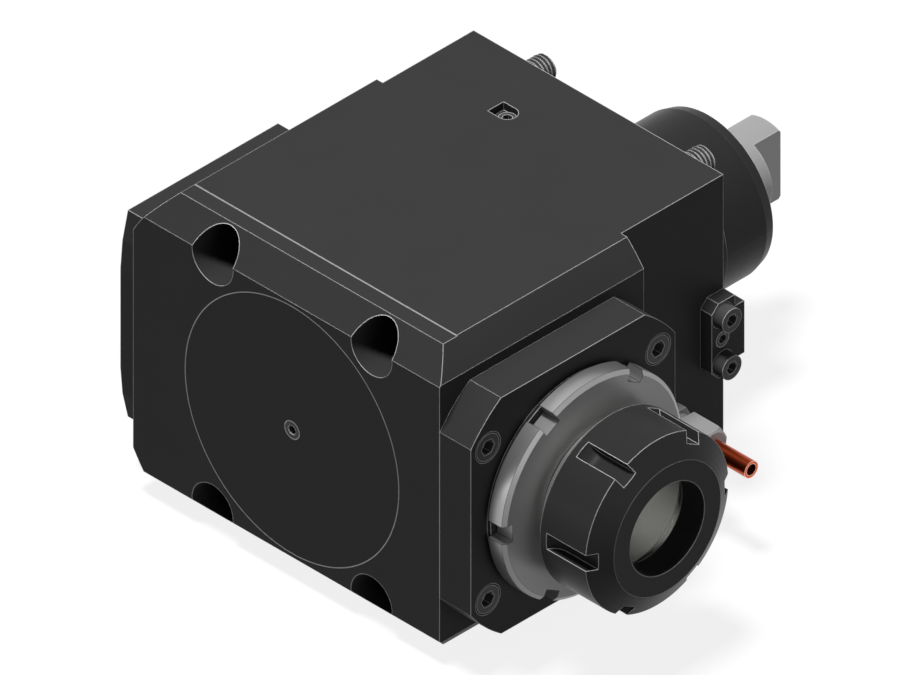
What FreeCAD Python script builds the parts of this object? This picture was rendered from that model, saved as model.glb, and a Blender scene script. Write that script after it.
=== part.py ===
import FreeCAD, Part
import math
import os
import Sketcher
from types import SimpleNamespace

# Live tool holder with its spindle at right angles to its shank. Millimetres.
# Origin: the shank's axis where it leaves the mounting face. +X is the way the spindle nose
# points, +Y the way the shank points, +Z up. The spindle's axis lies along X, one spindle
# offset in front of the mounting face, and the bevel gears' cones meet where it crosses Y.

doc = FreeCAD.newDocument("live_tool_holder")
sheet = doc.addObject("Spreadsheet::Sheet", "sizes")

SIZES = [
    # Housing: a milled block with a turned shank
    ("bolt_edge", 10, "mounting bolts to the top face"),
    ("rear_half_width", 55, "shank axis to either side of the rear block"),
    ("nose_side", 65, "shank axis to the face that carries the flange"),
    ("cover_side", 70, "shank axis to the face that carries the rear cover"),
    ("cover_space", 2, "flange's tube to the front cover"),
    ("nose_shoulder", 45, "mounting face to the shoulder on the nose side"),
    ("cover_shoulder", 40, "mounting face to the shoulder on the cover side"),
    ("turned_radius", 81.4, "block corners, turned about the shank's axis"),
    ("front_chamfer", 9, "chamfer above and below the front face"),
    ("relief_length", 14.9, "milled strip behind the front face, on top"),
    ("relief_depth", 0.2, "its depth"),
    ("pilot_radius", 31, "shank where it locates in the turret"),
    ("pilot_length", 26.4, "its length"),
    ("shank_seat_radius", 34, "shank inside the block, as far as the gear chamber"),
    ("pilot_break", 0.6, "chamfer where the pilot ends"),
    ("shank_radius", 29.35, "shank beyond the pilot"),
    ("shank_length", 48.5, "mounting face to the shank's end"),
    ("lead_length", 3.7, "lead chamfer on the shank's end, along the axis"),
    ("lead_drop", 0.95, "lead chamfer, in radius"),
    # Bores for the drive shaft
    ("cavity_radius", 43, "gear chamber behind the front cover"),
    ("cavity_end", 48, "mounting face to the gear chamber's end"),
    ("drive_bore_depth", 18.4, "mounting face to the bearing bore's shoulder"),
    ("nut_room_radius", 24, "bore round the drive shaft's lock nut"),
    ("nut_room_end", 10, "how far that bore runs beyond the mounting face"),
    ("shaft_room_radius", 19, "bore before the rear bearing"),
    # Bores for the spindle
    ("spindle_offset", 90, "mounting face to the spindle's axis"),
    ("gear_room_radius", 34, "gear chamber along the spindle"),
    ("rear_lip_radius", 24.5, "bore between the gear chamber and the rear bearing"),
    # Mounting bolts, M10
    ("bolt_half_x", 35, "half the bolt spacing along the spindle"),
    ("bolt_half_z", 47.5, "half the bolt spacing in height"),
    ("well_radius", 9, "counterbore"),
    ("bolt_seat", 48, "mounting face to the bolt head's seat"),
    ("bolt_hole_radius", 5.5, "clearance hole"),
    ("bolt_radius", 5, "thread"),
    ("bolt_reach", 12.3, "thread beyond the mounting face"),
    ("bolt_waist", 4.7, "bolt in its clearance hole"),
    ("bolt_thread_start", 0.5, "mounting face to the first thread"),
    ("bolt_head_radius", 8, "head"),
    ("bolt_head_height", 10, "head"),
    ("bolt_socket", 4.6, "centre to corner of the hexagon socket"),
    # Front cover
    ("cover_radius", 47.05, "disc let into the front face"),
    ("cover_thickness", 5, "disc"),
    ("seal_groove_depth", 1.8, "groove round the disc"),
    ("seal_groove_width", 2.2, "groove round the disc"),
    ("plug_radius", 3.2, "plug screw in the disc"),
    ("plug_socket", 1.75, "centre to corner of a small hexagon socket"),
    # Bearings
    ("front_bearing_bore", 20, "spindle front bearings, radius"),
    ("front_bearing_outside", 34, "spindle front bearings, radius"),
    ("front_bearing_width", 15, "each of two"),
    ("rear_bearing_bore", 15, "spindle rear bearing, radius"),
    ("rear_bearing_outside", 27.5, "spindle rear bearing, radius"),
    ("rear_bearing_width", 13, "width"),
    ("pinion_bearing_bore", 15, "drive shaft front bearings, radius"),
    ("pinion_bearing_outside", 27.5, "drive shaft front bearings, radius"),
    ("pinion_bearing_width", 13, "each of two"),
    ("shank_bearing_bore", 15, "thin bearing in the shank, radius"),
    ("shank_bearing_outside", 21, "thin bearing in the shank, radius"),
    ("shank_bearing_width", 7, "width"),
    ("shank_bearing_start", 26, "mounting face to the thin bearing"),
    ("fit", 0.02, "radial clearance of a seated piece"),
    ("running", 0.06, "radial clearance of a thread or guide that moves"),
    ("gap", 0.3, "clearance between pieces that turn past each other"),
    # Spindle
    ("gear_seat_end", 45.5, "apex to the gear's back face"),
    ("neck_radius", 22, "spindle behind its nose"),
    ("nose_start", 90, "shank axis to the nose"),
    ("nose_radius", 25, "nose, with the collet nut's thread"),
    ("nose_end", 105.4, "shank axis to the nose's end face"),
    ("mouth_radius", 20.5, "collet taper at the mouth"),
    ("taper_length", 46, "collet taper"),
    ("taper_end_radius", 14.035, "collet taper at its inner end, 8 degrees a side"),
    ("clear_radius", 12, "bore behind the taper"),
    ("clear_length", 12, "bore behind the taper"),
    ("through_radius", 5, "bore through the spindle"),
    ("spindle_tail", 75, "shank axis to the spindle's rear end"),
    ("rear_bearing_start", 50, "shank axis to the rear bearing"),
    ("sleeve_wall", 2.4, "spacer sleeve"),
    ("lock_nut_length", 8, "lock nuts"),
    ("spindle_nut_radius", 21.5, "lock nut on the spindle"),
    ("drive_nut_radius", 22, "lock nut on the drive shaft"),
    # Straight bevel gears, the same on both shafts
    ("gear_teeth", 20, "teeth on each gear"),
    ("pitch_radius", 30, "pitch circle at the large end"),
    ("small_end", 20, "pitch radius at the small end"),
    ("tooth_rise", 3, "pitch line to tip"),
    ("tooth_fall", 3.75, "pitch line to root"),
    ("half_at_tip", 0.95, "half the tooth's thickness at the tip"),
    ("half_at_pitch", 2.2, "at the pitch line"),
    ("half_at_root", 2.7, "at the root"),
    ("gear_hub_radius", 24, "hub"),
    ("pinion_bore", 11, "drive shaft inside the pinion, radius"),
    ("pinion_face", 24, "apex to the pinion's counterbored face"),
    ("pinion_screw_head", 12.5, "radius"),
    ("pinion_screw_thickness", 3.4, "head"),
    ("pinion_screw_thread", 4, "radius"),
    ("pinion_screw_length", 16, "under the head"),
    ("key_width", 5, "spindle key"),
    ("key_start", 24, "apex to the key"),
    ("key_end", 42, "apex to the key's far end"),
    ("key_bottom", 12.5, "spindle's axis to the key's underside"),
    ("key_top", 16.4, "spindle's axis to the key's top"),
    ("pinion_key_width", 4, "drive shaft key"),
    ("pinion_key_bottom", 8.8, "axis to the key's underside"),
    ("pinion_key_top", 12.6, "axis to the key's top"),
    # Drive shaft
    ("shaft_waist", 14.5, "drive shaft between its bearings"),
    ("collar_radius", 17, "collar that the thin bearing seats on"),
    ("collar_width", 5, "its width"),
    ("nose_shaft_radius", 14.35, "drive shaft outside the shank"),
    ("nose_shaft_end", 62.3, "mounting face to where the tang starts"),
    ("tang_end", 74.2, "mounting face to the tang's end"),
    ("tang_half", 6, "half the tang's thickness"),
    ("tang_break", 0.8, "chamfer on the tang's end"),
    ("shaft_seal_start", 39, "mounting face to the shaft seal"),
    ("shaft_seal_width", 6, "seal"),
    ("clip_width", 1.6, "retaining rings"),
    ("clip_depth", 1.5, "groove of a retaining ring, in radius"),
    # Spindle flange
    ("flange_start", 43, "shank axis to the inner end of the flange's tube"),
    ("lip_width", 2.5, "lip behind the front bearings"),
    ("lip_radius", 31, "bore of that lip"),
    ("tube_radius", 38, "flange's tube in the housing"),
    ("flange_front", 78.8, "shank axis to the flange's face"),
    ("boss_front", 80.3, "shank axis to the low boss behind the ring nut"),
    ("boss_radius", 37.8, "low boss"),
    ("flange_radius", 55, "turned corners"),
    ("flange_screw_y", 37.5, "half the screw spacing across"),
    ("flange_screw_z", 29, "half the screw spacing in height"),
    ("flange_screw_radius", 3, "M6"),
    ("flange_head_radius", 4.95, "screw head"),
    ("flange_head_height", 6, "screw head"),
    ("flange_bore_radius", 5.45, "counterbore"),
    ("flange_socket", 2.9, "centre to corner of the hexagon socket"),
    ("flange_screw_length", 18, "under the head"),
    # Slotted ring nut
    ("ring_radius", 39.6, "ring nut"),
    ("ring_back", 80.9, "shank axis to the back of its head"),
    ("ring_front", 87.8, "shank axis to its face"),
    ("ring_chamfer", 1.1, "chamfer, along the axis"),
    ("ring_face_radius", 38.1, "its face"),
    ("ring_wall", 1.6, "front wall over the seal"),
    ("ring_seal_radius", 28, "bore for the seal"),
    ("ring_slot_width", 6.4, "hook slots"),
    ("ring_slot_floor", 35.6, "axis to the slots' floor"),
    ("slots", 6, "hook slots in the ring nut and in the collet nut"),
    ("spindle_seal_width", 5, "seal"),
    # Collet nut
    ("nut_back", 95.2, "shank axis to the nut's back face"),
    ("nut_radius", 31.5, "outside"),
    ("nut_break", 0.5, "chamfer at its back"),
    ("nut_cone_start", 115.7, "shank axis to the front cone"),
    ("nut_front", 120.3, "shank axis to the front face"),
    ("nut_face_radius", 23.5, "flat of the front face"),
    ("nut_bore", 16.4, "mouth"),
    ("nut_bore_length", 9.9, "mouth"),
    ("press_ring_radius", 23.9, "pressing ring"),
    ("press_ring_length", 4, "pressing ring"),
    ("press_ring_mouth", 16.9, "front of its cone"),
    ("press_ring_rear", 19.4, "rear of its cone"),
    ("nut_slot_width", 6, "hook slots"),
    ("nut_slot_floor", 27.8, "axis to the slots' floor"),
    ("nut_cutter", 6.6, "radius of the cutter's run-out"),
    ("nut_slot_tangent", 104.4, "shank axis to where the run-out starts"),
    # Rear cover
    ("plate_thickness", 10.7, "plate"),
    ("plate_half", 39.9, "half width, front and rear"),
    ("plate_half_height", 39.4, "half height"),
    ("plate_flat", 18.9, "half the flat of the front side"),
    ("plate_lean", 3.3, "how far its ends lean back"),
    ("plate_corner", 10.4, "cut at the rear corners"),
    ("plate_recess", 23, "radius of the recess inside"),
    ("plate_floor", 77, "shank axis to the recess's floor"),
    ("plate_screw", 31, "axis to each screw, both ways"),
    ("plate_screw_radius", 2.5, "M5"),
    ("plate_head_radius", 4.25, "screw head"),
    ("plate_head_height", 5, "screw head"),
    ("plate_bore_radius", 4.7, "counterbore"),
    ("plate_bore_depth", 5.5, "counterbore"),
    ("plate_screw_length", 16, "under the head"),
    ("small_socket", 2.3, "centre to corner of the hexagon socket, M5"),
    # Alignment key block
    ("guide_thickness", 5.1, "plate on the rear block's side"),
    ("guide_length", 10.2, "in front of the mounting face"),
    ("guide_half", 14.2, "half height"),
    ("guide_cut", 3, "cut front corners"),
    ("guide_reach", 4.2, "tongue beyond the mounting face"),
    ("guide_tongue", 9.9, "half height of the tongue"),
    ("guide_screw_y", 5.4, "mounting face to the screws"),
    ("guide_screw_z", 9.03, "half their spacing"),
    ("guide_spot", 4.5, "spot face"),
    ("guide_spot_depth", 0.9, "spot face"),
    ("guide_screw_length", 12, "under the head"),
    ("guide_pin_radius", 2.8, "set screw between them"),
    ("guide_pin_length", 9, "set screw"),
    # Top pocket with its plug
    ("pocket_left", 21.1, "shank axis to the square end"),
    ("pocket_centre", 16, "shank axis to the round end's centre"),
    ("pocket_depth", 3, "pocket"),
    ("pocket_y", 24.15, "mounting face to its middle"),
    ("pocket_radius", 3.45, "half width"),
    ("top_plug_radius", 3, "plug"),
    ("top_plug_length", 6, "plug"),
    ("top_plug_rise", 1.2, "plug above the pocket's floor"),
    # Coolant connection
    ("coolant_y", 23.6, "mounting face to the connection"),
    ("coolant_z", 25.4, "spindle's level down to the connection"),
    ("coolant_flat", 6, "half the width across flats"),
    ("nipple_thread", 4, "radius in the housing"),
    ("nipple_depth", 9, "thread in the housing"),
    ("nipple_hex", 3.7, "length of its hexagon"),
    ("nipple_neck", 4.8, "neck radius"),
    ("neck_gap", 3.5, "neck that shows before the union nut"),
    ("neck_cover", 3.8, "neck inside the union nut"),
    ("union_length", 12.2, "union nut"),
    ("union_dome", 1.2, "its rounded end"),
    ("tube_outside", 3, "copper tube, radius"),
    ("tube_bore", 2, "copper tube, radius"),
    ("tube_end", 90.9, "shank axis to the tube's end"),
    ("port_x", 43, "shank axis to the coolant port"),
    ("port_radius", 3, "port in the mounting face"),
    ("port_seal_radius", 5.2, "recess for its seal"),
    ("port_seal_depth", 1.5, "recess for its seal"),
    ("screw_point", 0.8, "chamfer on the end of a screw"),
]

for row, (alias, value, note) in enumerate(SIZES, 1):
    sheet.set(f"A{row}", note)
    sheet.set(f"B{row}", str(value))
    sheet.setAlias(f"B{row}", alias)
doc.recompute()


class Size:
    """A length with its value and the sheet expression that it comes from."""

    def __init__(self, value, text):
        self.value = value
        self.text = text

    def joined(self, sign, other, value):
        return Size(value, f"({self.text} {sign} {other.text})")

    def __add__(self, other):
        other = plain(other)
        return self.joined("+", other, self.value + other.value)

    def __sub__(self, other):
        other = plain(other)
        return self.joined("-", other, self.value - other.value)

    def __mul__(self, other):
        other = plain(other)
        return self.joined("*", other, self.value * other.value)

    def __truediv__(self, other):
        other = plain(other)
        return self.joined("/", other, self.value / other.value)

    def __rsub__(self, other):
        return plain(other) - self

    def __neg__(self):
        return Size(-self.value, f"(0 - {self.text})")


def plain(number):
    return number if isinstance(number, Size) else Size(float(number), str(number))


s = SimpleNamespace(**{alias: Size(float(value), f"sizes.{alias}") for alias, value, note in SIZES})
ZERO = plain(0)
s.half_height = s.bolt_half_z + s.bolt_edge
s.flange_half = s.tube_radius + s.cover_space + s.cover_thickness
s.block_depth = s.spindle_offset + s.flange_half
made = []


def finished(thing, name):
    """Lists a sub-part for export under its name."""
    thing.Label = name
    made.append(thing)
    return thing


def new_body(name):
    body = doc.addObject("PartDesign::Body", name)
    body.Label = name
    body.AllowCompound = True
    return body


def sketch_on(body, role, height=ZERO, turn=ZERO):
    """An empty sketch on one of the body's own planes, at a height above it."""
    sketch = body.newObject("Sketcher::SketchObject", "sketch")
    home = next(f for f in body.Origin.OriginFeatures if f.Role == role)
    sketch.AttachmentSupport = [(home, "")]
    sketch.MapMode = "FlatFace"
    sketch.setExpression("AttachmentOffset.Base.z", height.text)
    if turn.value:
        sketch.setExpression("AttachmentOffset.Rotation.Angle", turn.text)
    return sketch


def bind_constraints(sketch, constraints, texts):
    """Adds constraints, each with the expression it follows, or none."""
    first = sketch.ConstraintCount
    sketch.addConstraint(constraints)
    for i, text in enumerate(texts):
        if text:
            sketch.setExpression(f"Constraints[{first + i}]", text)


def outline(sketch, points):
    """A closed outline of straight runs, each corner held at its distances from the origin."""
    corners = [FreeCAD.Vector(plain(u).value, plain(v).value, 0) for u, v in points]
    first = sketch.GeometryCount
    count = len(corners)
    runs = [Part.LineSegment(corners[i], corners[(i + 1) % count]) for i in range(count)]
    sketch.addGeometry(runs, False)
    joins = [
        Sketcher.Constraint("Coincident", first + i, 2, first + (i + 1) % count, 1)
        for i in range(count)
    ]
    sketch.addConstraint(joins)
    places, texts = [], []
    for i, (u, v) in enumerate(points):
        for kind, distance in (("DistanceX", plain(u)), ("DistanceY", plain(v))):
            places.append(Sketcher.Constraint(kind, -1, 1, first + i, 1, distance.value))
            texts.append(distance.text)
    bind_constraints(sketch, places, texts)


def circle(sketch, u, v, radius):
    u, v = plain(u), plain(v)
    here = sketch.GeometryCount
    centre = FreeCAD.Vector(u.value, v.value, 0)
    sketch.addGeometry(Part.Circle(centre, FreeCAD.Vector(0, 0, 1), radius.value), False)
    places = [
        Sketcher.Constraint("DistanceX", -1, 1, here, 3, u.value),
        Sketcher.Constraint("DistanceY", -1, 1, here, 3, v.value),
        Sketcher.Constraint("Radius", here, radius.value),
    ]
    bind_constraints(sketch, places, [u.text, v.text, radius.text])


def rectangle(sketch, left, low, right, high):
    outline(sketch, [(left, low), (right, low), (right, high), (left, high)])


def grown(body, kind, sketch, length, reverse=False, midplane=False):
    """A pad or pocket of a sketch. A pad runs along the sketch's normal, a pocket against it."""
    feature = body.newObject(f"PartDesign::{kind}", kind.lower())
    feature.Profile = sketch
    feature.setExpression("Length", length.text)
    feature.Reversed = reverse
    feature.Midplane = midplane
    return feature


def turned(body, along, points, kind="Revolution"):
    """A turned solid, or a turned cut, of (place along the axis, radius) points."""
    sketch = sketch_on(body, "XY_Plane")
    if along == "X":
        outline(sketch, points)
        axis = "H_Axis"
    else:
        outline(sketch, [(radius, place) for place, radius in points])
        axis = "V_Axis"
    feature = body.newObject(f"PartDesign::{kind}", kind.lower())
    feature.Profile = sketch
    feature.ReferenceAxis = (sketch, [axis])
    feature.Angle = 360
    return feature


def round_about(body, features, role, count):
    """Repeats features evenly about one of the body's own axes."""
    pattern = body.newObject("PartDesign::PolarPattern", "pattern")
    axis = next(f for f in body.Origin.OriginFeatures if f.Role == role)
    pattern.Originals = features
    pattern.Axis = (axis, [""])
    pattern.Angle = 360
    pattern.setExpression("Occurrences", count.text)
    body.Tip = pattern
    return pattern


def place(thing, x=ZERO, y=ZERO, z=ZERO, turn=None):
    """Puts a sub-part in its place. turn is an axis and an angle in degrees."""
    if turn:
        thing.Placement = FreeCAD.Placement(FreeCAD.Vector(), FreeCAD.Rotation(*turn))
    for letter, distance in (("x", x), ("y", y), ("z", z)):
        thing.setExpression(f"Placement.Base.{letter}", plain(distance).text)
    return thing


def on_spindle(body):
    return place(body, y=-s.spindle_offset)


def mirrored(thing, normal, height=ZERO):
    """The piece and its mirror image across a plane, as two separate solids."""
    image = doc.addObject("Part::Mirroring", "mirror_image")
    image.Source = thing
    image.Normal = normal
    letter = "xyz"[[abs(c) > 0.5 for c in normal].index(True)]
    image.setExpression(f"Base.{letter}", height.text)
    both = doc.addObject("Part::Compound", "pair")
    both.Links = [thing, image]
    return both


X_AXIS = FreeCAD.Vector(1, 0, 0)
Y_AXIS = FreeCAD.Vector(0, 1, 0)
Z_AXIS = FreeCAD.Vector(0, 0, 1)


def hexagon(sketch, radius):
    """A hexagon about the sketch's origin, with two of its corners on the first axis."""
    half = radius * 0.5
    side = radius * math.sqrt(0.75)
    corners = [(radius, ZERO), (half, side), (-half, side)]
    outline(sketch, corners + [(-u, -v) for u, v in corners])


def screw(name, radius, length, socket, socket_depth, head=None, waist=None):
    """A screw along Y: its seat at 0, its head, if any, above, its thread below. A waist is
    the length and radius of the plain part under the head."""
    body = new_body(name)
    top = ZERO
    profile = [(-length, ZERO), (-length, radius - s.screw_point), (s.screw_point - length, radius)]
    if waist:
        waist_length, waist_radius = waist
        profile += [(-waist_length, radius), (-waist_length, waist_radius), (ZERO, waist_radius)]
    if head:
        head_radius, top = head
        if not waist:
            profile += [(ZERO, radius)]
        profile += [(ZERO, head_radius), (top, head_radius)]
    else:
        profile += [(ZERO, radius)]
    turned(body, "Y", profile + [(top, ZERO)])
    sketch = sketch_on(body, "XZ_Plane", -top)
    hexagon(sketch, socket)
    grown(body, "Pocket", sketch, socket_depth, reverse=True)
    return body


# Housing: the block with its bores, blackened steel

def build_housing():
    body = new_body("housing")
    plan = sketch_on(body, "XY_Plane")
    outline(plan, [
        (-s.rear_half_width, ZERO), (s.rear_half_width, ZERO),
        (s.rear_half_width, -s.nose_shoulder), (s.nose_side, -s.nose_shoulder),
        (s.nose_side, -s.block_depth), (-s.cover_side, -s.block_depth),
        (-s.cover_side, -s.cover_shoulder), (-s.rear_half_width, -s.cover_shoulder),
    ])
    grown(body, "Pad", plan, s.half_height * 2, midplane=True)

    # The block's long corners are turned about the shank's axis
    corners = sketch_on(body, "XZ_Plane")
    circle(corners, 0, 0, s.turned_radius)
    circle(corners, 0, 0, s.turned_radius + s.cover_side)
    grown(body, "Pocket", corners, s.block_depth * 2, midplane=True)

    # Chamfers over and under the front face, and the fine milled strip on top
    cuts = sketch_on(body, "YZ_Plane")
    for side in (1, -1):
        high = s.half_height * side
        low = (s.half_height - s.front_chamfer) * side
        outline(cuts, [
            (-s.block_depth, low), (s.front_chamfer - s.block_depth, high),
            (s.front_chamfer - s.block_depth, high * 1.5), (-s.block_depth * 1.2, high * 1.5),
            (-s.block_depth * 1.2, low),
        ])
    grown(body, "Pocket", cuts, s.block_depth * 2, midplane=True)
    strip = sketch_on(body, "XY_Plane", s.half_height - s.relief_depth)
    rectangle(strip, -s.block_depth, -s.block_depth * 1.1, s.block_depth,
              s.relief_length - s.block_depth)
    grown(body, "Pocket", strip, s.half_height, reverse=True)

    # Bores along the shank's axis: front cover, gear chamber, shank
    shank_bore = s.shank_seat_radius + s.fit
    turned(body, "Y", [
        (-s.block_depth * 1.1, ZERO), (-s.block_depth * 1.1, s.cover_radius + s.fit),
        (s.cover_thickness - s.block_depth, s.cover_radius + s.fit),
        (s.cover_thickness - s.block_depth, s.cavity_radius),
        (-s.cavity_end, s.cavity_radius), (-s.cavity_end, shank_bore),
        (s.pilot_length, shank_bore), (s.pilot_length, ZERO),
    ], "Groove")

    # Bores along the spindle's axis, from the rear cover to the flange
    along = sketch_on(body, "XY_Plane")
    rear_bore = s.rear_bearing_outside + s.fit
    middle = -s.spindle_offset
    points = [
        (-s.cover_side * 1.1, ZERO), (-s.cover_side * 1.1, rear_bore),
        (-s.rear_bearing_start, rear_bore), (-s.rear_bearing_start, s.rear_lip_radius),
        (ZERO, s.rear_lip_radius), (ZERO, s.gear_room_radius),
        (s.flange_start - s.fit, s.gear_room_radius),
        (s.flange_start - s.fit, s.tube_radius + s.fit),
        (s.nose_side * 1.1, s.tube_radius + s.fit), (s.nose_side * 1.1, ZERO),
    ]
    outline(along, [(x, middle + radius) for x, radius in points])
    axis_line = along.addGeometry(
        Part.LineSegment(FreeCAD.Vector(0, middle.value, 0),
                         FreeCAD.Vector(s.nose_side.value, middle.value, 0)), True)
    bind_constraints(along, [
        Sketcher.Constraint("Horizontal", axis_line),
        Sketcher.Constraint("DistanceX", -1, 1, axis_line, 1, 0),
        Sketcher.Constraint("DistanceX", -1, 1, axis_line, 2, s.nose_side.value),
        Sketcher.Constraint("DistanceY", -1, 1, axis_line, 1, middle.value),
    ], ["", "", s.nose_side.text, middle.text])
    bore = body.newObject("PartDesign::Groove", "groove")
    bore.Profile = along
    bore.ReferenceAxis = (along, ["Axis0"])
    bore.Angle = 360

    # Wells and holes of the four mounting bolts
    wells = sketch_on(body, "XZ_Plane", s.bolt_seat)
    holes = sketch_on(body, "XZ_Plane")
    for x in (-s.bolt_half_x, s.bolt_half_x):
        for z in (-s.bolt_half_z, s.bolt_half_z):
            circle(wells, x, z, s.well_radius)
            circle(holes, x, z, s.bolt_hole_radius)
    grown(body, "Pocket", wells, s.block_depth, reverse=True)
    grown(body, "Pocket", holes, s.bolt_seat * 1.1, reverse=True)

    # Threaded holes of the flange and the rear cover
    flange_holes = sketch_on(body, "YZ_Plane", s.nose_side)
    plate_holes = sketch_on(body, "YZ_Plane", -s.cover_side)
    for y in (-1, 1):
        for z in (-1, 1):
            circle(flange_holes, s.flange_screw_y * y - s.spindle_offset, s.flange_screw_z * z,
                   s.flange_screw_radius + s.fit)
            circle(plate_holes, s.plate_screw * y - s.spindle_offset, s.plate_screw * z,
                   s.plate_screw_radius + s.fit)
    flange_seat = s.flange_front - s.flange_head_height - s.nose_side
    plate_seat = s.plate_thickness - s.plate_bore_depth
    grown(body, "Pocket", flange_holes, s.flange_screw_length - flange_seat + 2)
    grown(body, "Pocket", plate_holes, s.plate_screw_length - plate_seat + 2, reverse=True)

    # Threaded holes of the alignment key and the coolant connection
    side_holes = sketch_on(body, "YZ_Plane", s.rear_half_width)
    for z in (-s.guide_screw_z, s.guide_screw_z):
        circle(side_holes, -s.guide_screw_y, z, s.plate_screw_radius + s.fit)
    circle(side_holes, -s.guide_screw_y, ZERO, s.guide_pin_radius + s.fit)
    grown(body, "Pocket", side_holes, s.guide_screw_length)
    nipple_hole = sketch_on(body, "YZ_Plane", s.rear_half_width)
    circle(nipple_hole, -s.coolant_y, -s.coolant_z, s.nipple_thread + s.fit)
    grown(body, "Pocket", nipple_hole, s.nipple_depth + 1)
    branch = sketch_on(body, "YZ_Plane", s.rear_half_width)
    circle(branch, -s.coolant_y, -s.coolant_z, s.port_radius)
    grown(body, "Pocket", branch, s.rear_half_width - s.port_x)
    port = sketch_on(body, "XZ_Plane")
    circle(port, s.port_x, -s.coolant_z, s.port_radius)
    grown(body, "Pocket", port, s.coolant_y, reverse=True)
    port_seal = sketch_on(body, "XZ_Plane")
    circle(port_seal, s.port_x, -s.coolant_z, s.port_seal_radius)
    grown(body, "Pocket", port_seal, s.port_seal_depth, reverse=True)

    # Pocket in the top face, square at one end and round at the other, with a plug's hole
    floor = s.half_height - s.pocket_depth
    square = sketch_on(body, "XY_Plane", floor)
    rectangle(square, -s.pocket_left, -s.pocket_y - s.pocket_radius,
              -s.pocket_centre, s.pocket_radius - s.pocket_y)
    grown(body, "Pocket", square, s.half_height, reverse=True)
    rounded = sketch_on(body, "XY_Plane", floor)
    circle(rounded, -s.pocket_centre, -s.pocket_y, s.pocket_radius)
    grown(body, "Pocket", rounded, s.half_height, reverse=True)
    plug_hole = sketch_on(body, "XY_Plane", floor)
    circle(plug_hole, -s.pocket_centre, -s.pocket_y, s.top_plug_radius + s.fit)
    grown(body, "Pocket", plug_hole, s.top_plug_length)
    return finished(body, "housing")


build_housing()


# Location shank: turned and ground, shrunk into the block, and the seat of the drive shaft's
# bearings

def build_shank():
    body = new_body("shank")
    end = s.shank_length
    clip = s.shaft_seal_start + s.shaft_seal_width
    bore = s.shank_bearing_outside + s.fit
    pinion_bore = s.pinion_bearing_outside + s.fit
    pinion_start = -s.spindle_offset + s.gear_seat_end
    turned(body, "Y", [
        (-s.cavity_end, pinion_bore), (-s.cavity_end, s.shank_seat_radius),
        (ZERO, s.shank_seat_radius), (ZERO, s.pilot_radius),
        (s.pilot_length - s.pilot_break, s.pilot_radius),
        (s.pilot_length, s.pilot_radius - s.pilot_break), (s.pilot_length, s.shank_radius),
        (end - s.lead_length, s.shank_radius), (end, s.shank_radius - s.lead_drop),
        (end, bore), (clip + s.clip_width, bore), (clip + s.clip_width, bore + s.clip_depth),
        (clip, bore + s.clip_depth), (clip, bore), (s.shank_bearing_start, bore),
        (s.shank_bearing_start, s.shaft_room_radius), (s.nut_room_end, s.shaft_room_radius),
        (s.nut_room_end, s.nut_room_radius), (-s.drive_bore_depth, s.nut_room_radius),
        (-s.drive_bore_depth, pinion_bore), (pinion_start, pinion_bore),
        (pinion_start, pinion_bore + s.clip_depth),
        (pinion_start - s.clip_width, pinion_bore + s.clip_depth),
        (pinion_start - s.clip_width, pinion_bore),
    ])
    finished(body, "location_shank")


build_shank()


# Front cover: a disc pressed into the front face, with a seal round it and a plug in it

def build_front_cover():
    body = new_body("front_cover")
    back = s.cover_thickness - s.block_depth
    groove_start = s.cover_thickness * 0.5 - s.seal_groove_width * 0.5 - s.block_depth
    groove_end = groove_start + s.seal_groove_width
    floor = s.cover_radius - s.seal_groove_depth
    hole = s.plug_radius + s.fit
    turned(body, "Y", [
        (-s.block_depth, hole), (-s.block_depth, s.cover_radius),
        (groove_start, s.cover_radius), (groove_start, floor), (groove_end, floor),
        (groove_end, s.cover_radius), (back, s.cover_radius), (back, hole),
    ])
    finished(body, "front_cover")

    seal = new_body("front_cover_seal")
    turned(seal, "Y", [
        (groove_start + s.fit, floor + s.fit), (groove_start + s.fit, s.cover_radius),
        (groove_end - s.fit, s.cover_radius), (groove_end - s.fit, floor + s.fit),
    ])
    finished(seal, "front_cover_seal")

    plug = screw("front_cover_plug", s.plug_radius, s.cover_thickness, s.plug_socket,
                 s.cover_thickness * 0.5)
    place(plug, y=-s.block_depth, turn=(Z_AXIS, 180))
    finished(plug, "front_cover_plug")


build_front_cover()


# Mounting bolts: socket head screws deep in the block, their threads beyond the mounting face

def build_mounting_bolts():
    bolt = screw("mounting_bolt", s.bolt_radius, s.bolt_seat + s.bolt_reach, s.bolt_socket,
                 s.bolt_head_height * 0.5, (s.bolt_head_radius, s.bolt_head_height),
                 (s.bolt_seat + s.bolt_thread_start, s.bolt_waist))
    place(bolt, x=s.bolt_half_x, y=-s.bolt_seat, z=s.bolt_half_z, turn=(Z_AXIS, 180))
    finished(mirrored(mirrored(bolt, X_AXIS), Z_AXIS), "mounting_bolts")


build_mounting_bolts()


# Bearings: plain rings and one ring for each row of balls with its cage

def bearing_rings(name, along, rows, bore, outside, width):
    """Outer rings, inner rings and ball rows of bearings whose rows start at given places."""
    middle = (bore + outside) * 0.5
    half_ball = middle / 6
    inner_land = middle - half_ball * 0.6
    outer_land = middle + half_ball * 0.6
    outer = new_body(f"{name}_outer")
    inner = new_body(f"{name}_inner")
    balls = new_body(f"{name}_balls")
    for body, low, high in ((outer, outer_land, outside), (inner, bore + s.fit, inner_land)):
        for start in rows:
            end = start + width - s.fit
            turned(body, along, [(start, low), (start, high), (end, high), (end, low)])
    for start in rows:
        centre = start + width * 0.5
        low = inner_land + s.gap
        high = outer_land - s.gap
        narrow = half_ball * 0.7
        turned(balls, along, [
            (centre - half_ball, middle), (centre - narrow, high), (centre + narrow, high),
            (centre + half_ball, middle), (centre + narrow, low), (centre - narrow, low),
        ])
    return outer, inner, balls


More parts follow.
